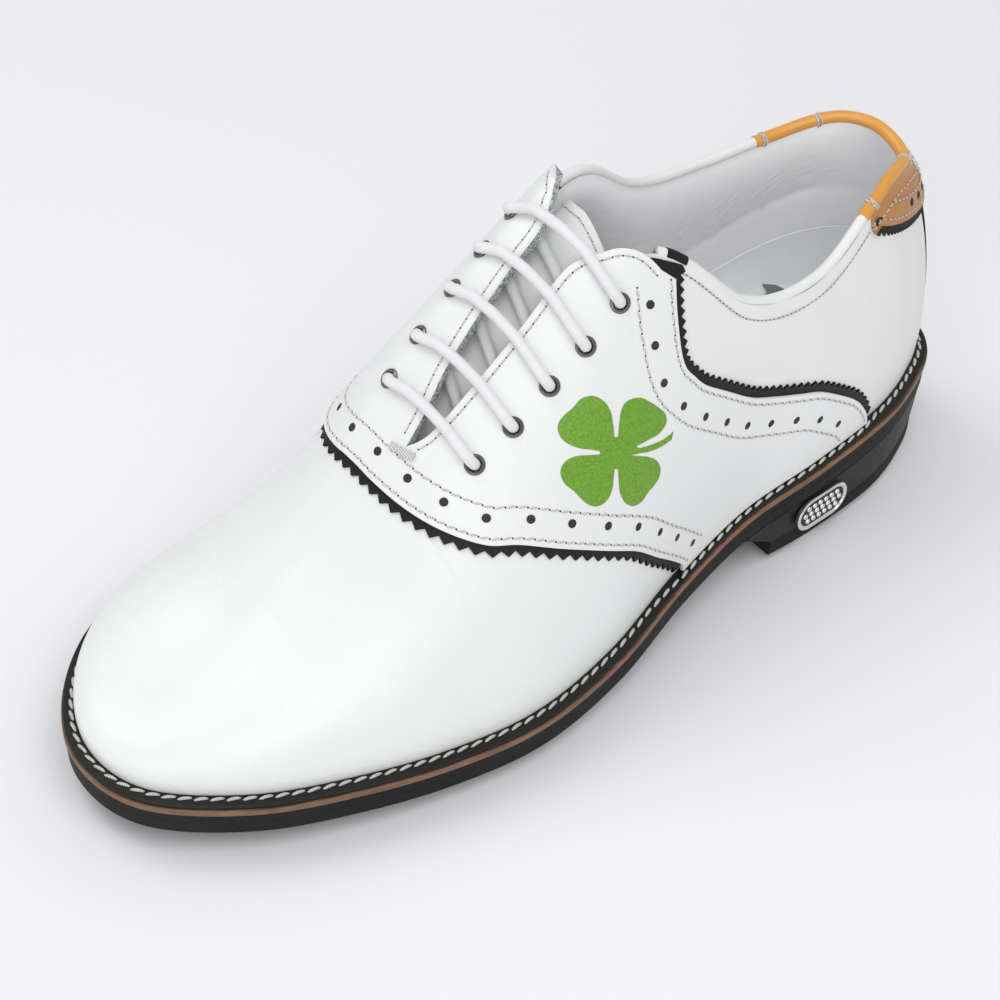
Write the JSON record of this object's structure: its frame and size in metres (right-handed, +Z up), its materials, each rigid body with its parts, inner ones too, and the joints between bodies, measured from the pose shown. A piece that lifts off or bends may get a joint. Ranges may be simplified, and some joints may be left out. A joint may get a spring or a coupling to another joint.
{
  "type": "golf shoe",
  "caption": "Left saddle-oxford golf shoe with a brogued white upper, pinked black trims, round lace, stitched welt and turning soft cleats.",
  "frame": {"origin": "under the middle of the shoe's length and width, on the ground that the cleats stand on", "axes": "+X to the toe, +Y to the outer (lateral) side, +Z up"},
  "size_m": [0.3039, 0.1123, 0.1373],
  "materials": {
    "outsole_rubber": "matt black rubber",
    "brown_leather": "brown stacked-leather edge",
    "black_welt": "black, satin",
    "thread": "off-white waxed thread",
    "steel": "plain steel",
    "cork": "pressed cork",
    "board": "fibre board",
    "foam": "soft foam",
    "white_lining": "soft white lining leather",
    "black_heel": "satin black",
    "receptacle_nylon": "nylon",
    "badge_metal": "bright metal",
    "white_leather": "smooth white leather with a soft shine",
    "black_leather": "black leather with a pinked edge",
    "tan_leather": "tan leather",
    "eyelet_metal": "dark gunmetal",
    "lace_cord": "round woven cotton",
    "cleat_plastic": "white soft plastic"
  },
  "bodies": {
    "shoe": {"outsole": "outsole_rubber", "midsole": "brown_leather", "welt": "black_welt", "welt_thread": "thread", "shank": "steel", "cork_filler": "cork", "insole_board": "board", "foam_insole": "foam", "sock_liner": "white_lining", "heel_block": "black_heel", "heel_top_lift": "outsole_rubber", "heel_nails": "steel", "cleat_receptacles": "receptacle_nylon", "badge_plate": "badge_metal", "badge_pins": "steel", "vamp": "white_leather", "vamp_lining": "white_lining", "toe_puff": "board", "saddle": "white_leather", "front_trim": "black_leather", "rear_trim_lateral": "black_leather", "rear_trim_medial": "black_leather", "quarter_lateral": "white_leather", "quarter_medial": "white_leather", "quarter_lining_lateral": "white_lining", "quarter_lining_medial": "white_lining", "heel_counter": "board", "facing_stay_lateral": "board", "facing_stay_medial": "board", "backstay": "black_leather", "heel_patch": "tan_leather", "heel_patch_trim": "black_leather", "heel_binding": "tan_leather", "collar_binding_lateral": "white_leather", "collar_binding_medial": "white_leather", "tongue_root": "white_leather", "bar_tack": "thread", "eyelets_lateral": "eyelet_metal", "eyelets_medial": "eyelet_metal", "lace": "lace_cord", "lace_tips": "lace_cord"},
    "tongue_flap": {"tongue": "white_leather"},
    "cleat_1_turn": {"cleat_1": "cleat_plastic"},
    "cleat_2_turn": {"cleat_2": "cleat_plastic"},
    "cleat_3_turn": {"cleat_3": "cleat_plastic"},
    "cleat_4_turn": {"cleat_4": "cleat_plastic"},
    "cleat_5_turn": {"cleat_5": "cleat_plastic"},
    "cleat_6_turn": {"cleat_6": "cleat_plastic"},
    "cleat_7_turn": {"cleat_7": "cleat_plastic"},
    "cleat_8_turn": {"cleat_8": "cleat_plastic"}
  },
  "joints": [
    {"name": "tongue_lift", "type": "hinge", "parent": "shoe", "child": "tongue_flap", "pos_m": [0.043, 0, 0.057], "axis": [0, 1, 0], "range_deg": [-8, 0]},
    {"name": "cleat_1_lock", "type": "hinge", "parent": "shoe", "child": "cleat_1_turn", "pos_m": [0.092, 0.014, 0.006], "axis": [0, 0, 1], "range_deg": [0, 60]},
    {"name": "cleat_2_lock", "type": "hinge", "parent": "shoe", "child": "cleat_2_turn", "pos_m": [0.08, -0.027, 0.006], "axis": [0, 0, 1], "range_deg": [0, 60]},
    {"name": "cleat_3_lock", "type": "hinge", "parent": "shoe", "child": "cleat_3_turn", "pos_m": [0.045, 0.034, 0.006], "axis": [0, 0, 1], "range_deg": [0, 60]},
    {"name": "cleat_4_lock", "type": "hinge", "parent": "shoe", "child": "cleat_4_turn", "pos_m": [0.04, -0.026, 0.006], "axis": [0, 0, 1], "range_deg": [0, 60]},
    {"name": "cleat_5_lock", "type": "hinge", "parent": "shoe", "child": "cleat_5_turn", "pos_m": [0.017, 0.006, 0.006], "axis": [0, 0, 1], "range_deg": [0, 60]},
    {"name": "cleat_6_lock", "type": "hinge", "parent": "shoe", "child": "cleat_6_turn", "pos_m": [-0.082, 0.0223, 0.006], "axis": [0, 0, 1], "range_deg": [0, 60]},
    {"name": "cleat_7_lock", "type": "hinge", "parent": "shoe", "child": "cleat_7_turn", "pos_m": [-0.082, -0.026, 0.006], "axis": [0, 0, 1], "range_deg": [0, 60]},
    {"name": "cleat_8_lock", "type": "hinge", "parent": "shoe", "child": "cleat_8_turn", "pos_m": [-0.124, -0.005, 0.006], "axis": [0, 0, 1], "range_deg": [0, 60]}
  ]
}
